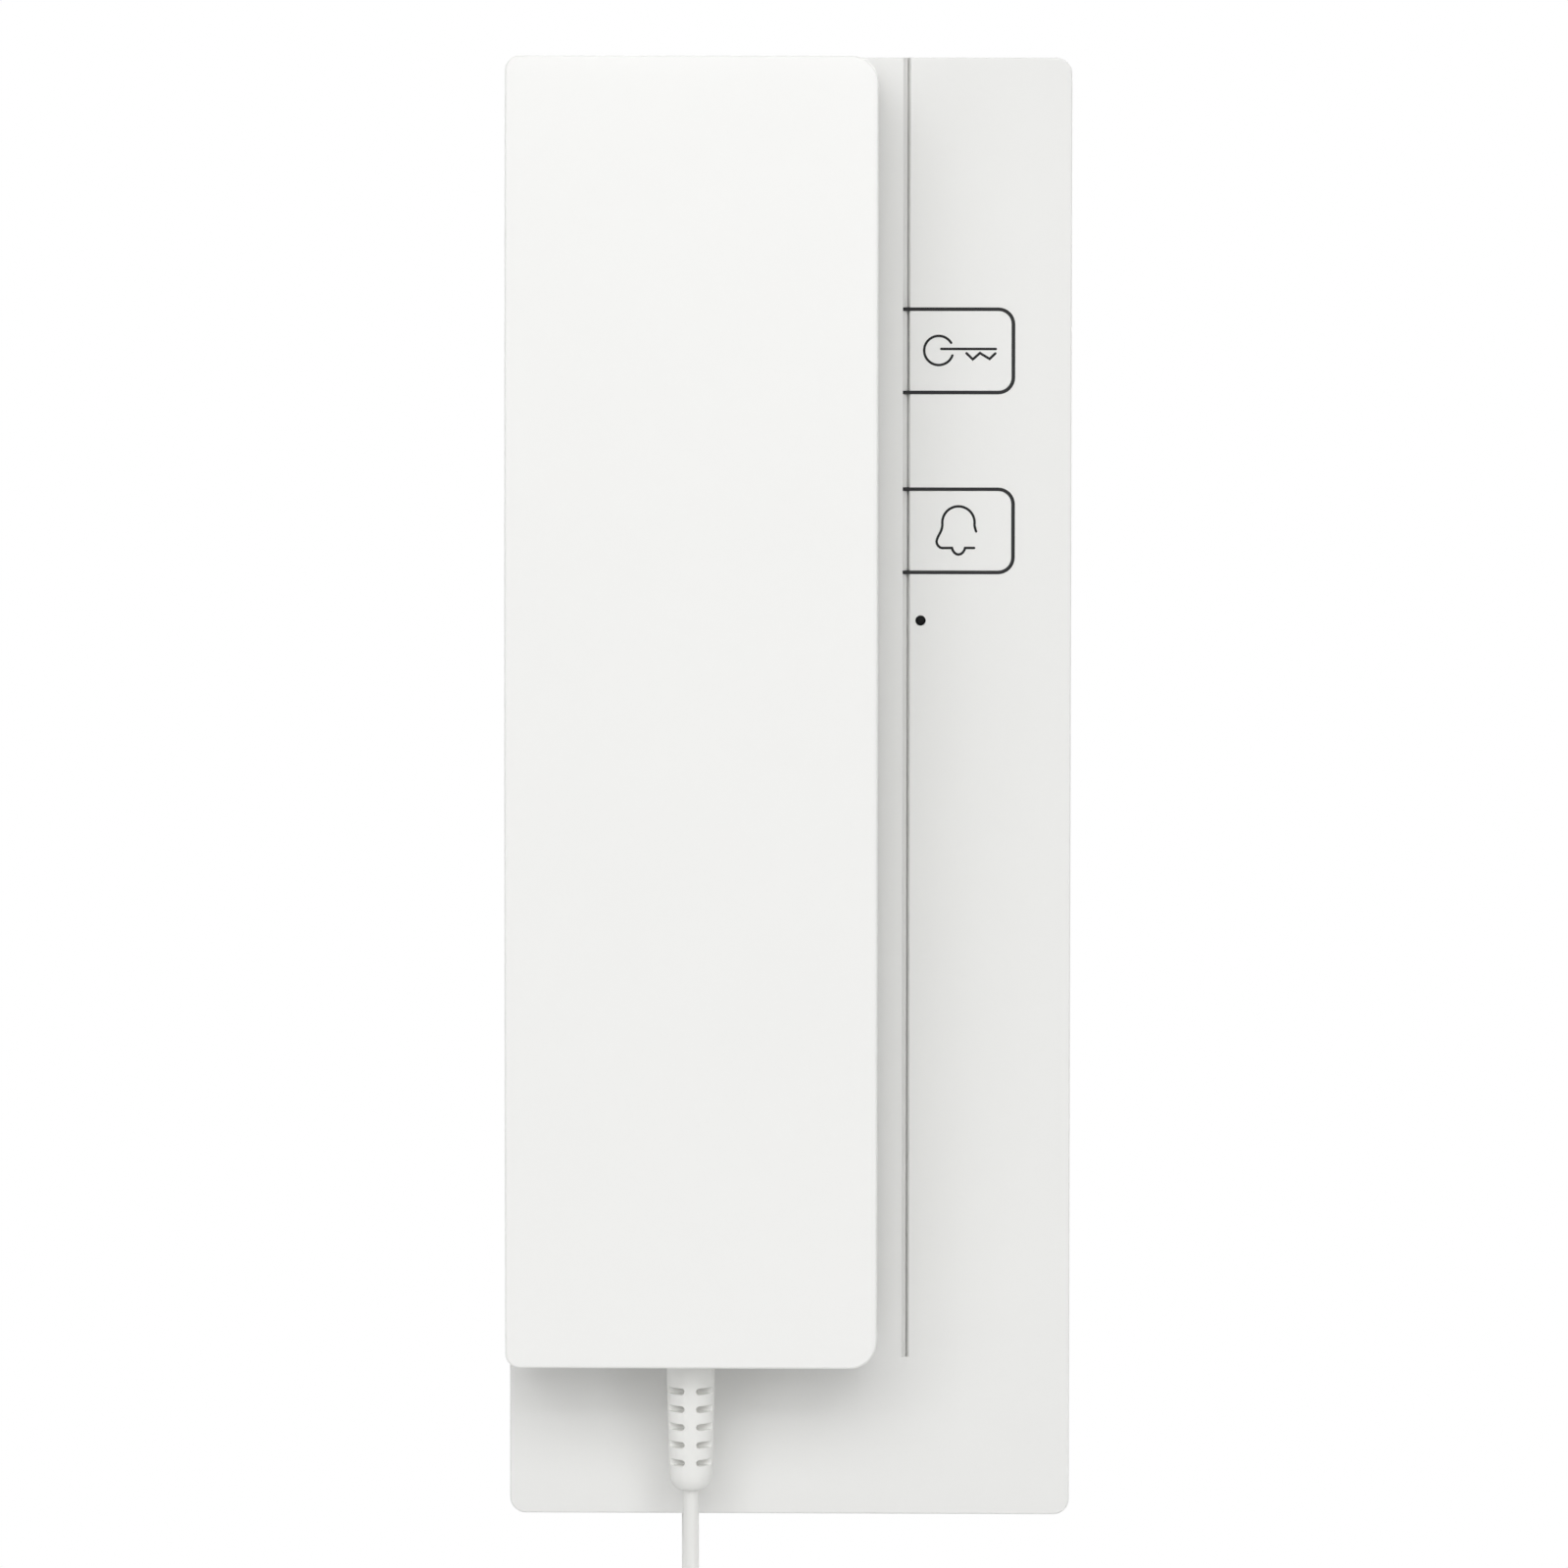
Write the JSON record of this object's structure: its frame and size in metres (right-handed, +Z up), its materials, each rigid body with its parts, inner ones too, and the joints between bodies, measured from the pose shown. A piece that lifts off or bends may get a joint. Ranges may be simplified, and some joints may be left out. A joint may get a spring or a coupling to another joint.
{
  "type": "wall telephone",
  "caption": "Slim white wall-mounted entry telephone with a lift-off slab handset, two hinged keys beside a groove and a hanging curly cord.",
  "frame": {"origin": "centre of the flat back face that lies on the wall", "axes": "+Z up, -Y out of the wall towards the person, +X to the right as the person sees it"},
  "size_m": [0.085, 0.044, 0.3166],
  "materials": {
    "white_abs": "fine moulded texture, satin",
    "relief_pvc": "soft white PVC",
    "cord_pvc": "smooth white PVC sheath",
    "board_laminate": "green solder mask",
    "terminal_plastic": "moulded",
    "switch_plastic": "moulded black",
    "button_plastic": "moulded grey",
    "red_button_plastic": "moulded red",
    "socket_plastic": "moulded dark grey",
    "plug_plastic": "clear moulded",
    "led_plastic": "unlit dark lens",
    "component_black": "black moulding",
    "capacitor_sleeve": "dark blue sleeve",
    "rubber_black": "black rubber",
    "foam_grey": "foam",
    "steel": "zinc plated",
    "aluminium": "drawn can"
  },
  "bodies": {
    "base": {"rear_housing": "white_abs", "front_cover": "white_abs", "cover_screw": "steel", "circuit_board": "board_laminate", "board_screw_1": "steel", "board_screw_2": "steel", "board_screw_3": "steel", "terminal_block": "terminal_plastic", "terminal_screw_1": "steel", "terminal_screw_2": "steel", "terminal_screw_3": "steel", "terminal_screw_4": "steel", "door_switch": "switch_plastic", "call_switch": "switch_plastic", "status_led": "led_plastic", "amplifier_chip": "component_black", "capacitor": "capacitor_sleeve", "call_sounder": "component_black", "hook_switch": "switch_plastic", "hook_spring": "steel", "cord_socket": "socket_plastic", "cord_plug": "plug_plastic", "cord_tail_base": "cord_pvc", "cord_curls": "cord_pvc"},
    "handset": {"handset_outer_shell": "white_abs", "handset_inner_shell": "white_abs", "receiver_capsule": "component_black", "receiver_ring": "foam_grey", "microphone_boot": "rubber_black", "microphone_capsule": "aluminium", "handset_weight": "steel", "handset_screw_1": "steel", "handset_screw_2": "steel", "strain_relief": "relief_pvc", "cord_tail_handset": "cord_pvc"},
    "hook_plunger": {"hook_plunger": "white_abs"},
    "hook_switch_button": {"hook_switch_button": "red_button_plastic"},
    "door_release_key": {"door_release_key": "white_abs"},
    "door_switch_button": {"door_switch_button": "button_plastic"},
    "call_key": {"call_key": "white_abs"},
    "call_switch_button": {"call_switch_button": "button_plastic"}
  },
  "joints": [
    {"name": "handset_lift", "type": "slide", "parent": "base", "child": "handset", "axis": [0, -0.9397, 0.342], "range_m": [0, 0.12], "deforming": ["cord_curls", "cord_tail_base", "cord_tail_handset"]},
    {"name": "hook_plunger_slide", "type": "slide", "parent": "base", "child": "hook_plunger", "axis": [0, -1, 0], "range_m": [0, 0.003], "deforming": ["hook_spring"]},
    {"name": "hook_switch_button_slide", "type": "slide", "parent": "base", "child": "hook_switch_button", "axis": [0, -1, 0], "range_m": [0, 0.0008]},
    {"name": "door_release_key_hinge", "type": "hinge", "parent": "base", "child": "door_release_key", "pos_m": [0.01775, -0.0193, 0.06615], "axis": [0, 0, 1], "range_deg": [0, 3.5], "stiffness_Nm_per_rad": 0.15, "springref_deg": -2.86},
    {"name": "door_switch_button_slide", "type": "slide", "parent": "base", "child": "door_switch_button", "axis": [0, 1, 0], "range_m": [0, 0.00075]},
    {"name": "call_key_hinge", "type": "hinge", "parent": "base", "child": "call_key", "pos_m": [0.01775, -0.0193, 0.03878], "axis": [0, 0, 1], "range_deg": [0, 3.5], "stiffness_Nm_per_rad": 0.15, "springref_deg": -2.86},
    {"name": "call_switch_button_slide", "type": "slide", "parent": "base", "child": "call_switch_button", "axis": [0, 1, 0], "range_m": [0, 0.00075]}
  ],
  "couplings": [
    {"joint": "hook_plunger_slide", "follows": "handset_lift", "ratio": 0.025},
    {"joint": "hook_switch_button_slide", "follows": "handset_lift", "ratio": 0.0066},
    {"joint": "door_switch_button_slide", "follows": "door_release_key_hinge", "m_per_rad": 0.0117},
    {"joint": "call_switch_button_slide", "follows": "call_key_hinge", "m_per_rad": 0.0117}
  ]
}
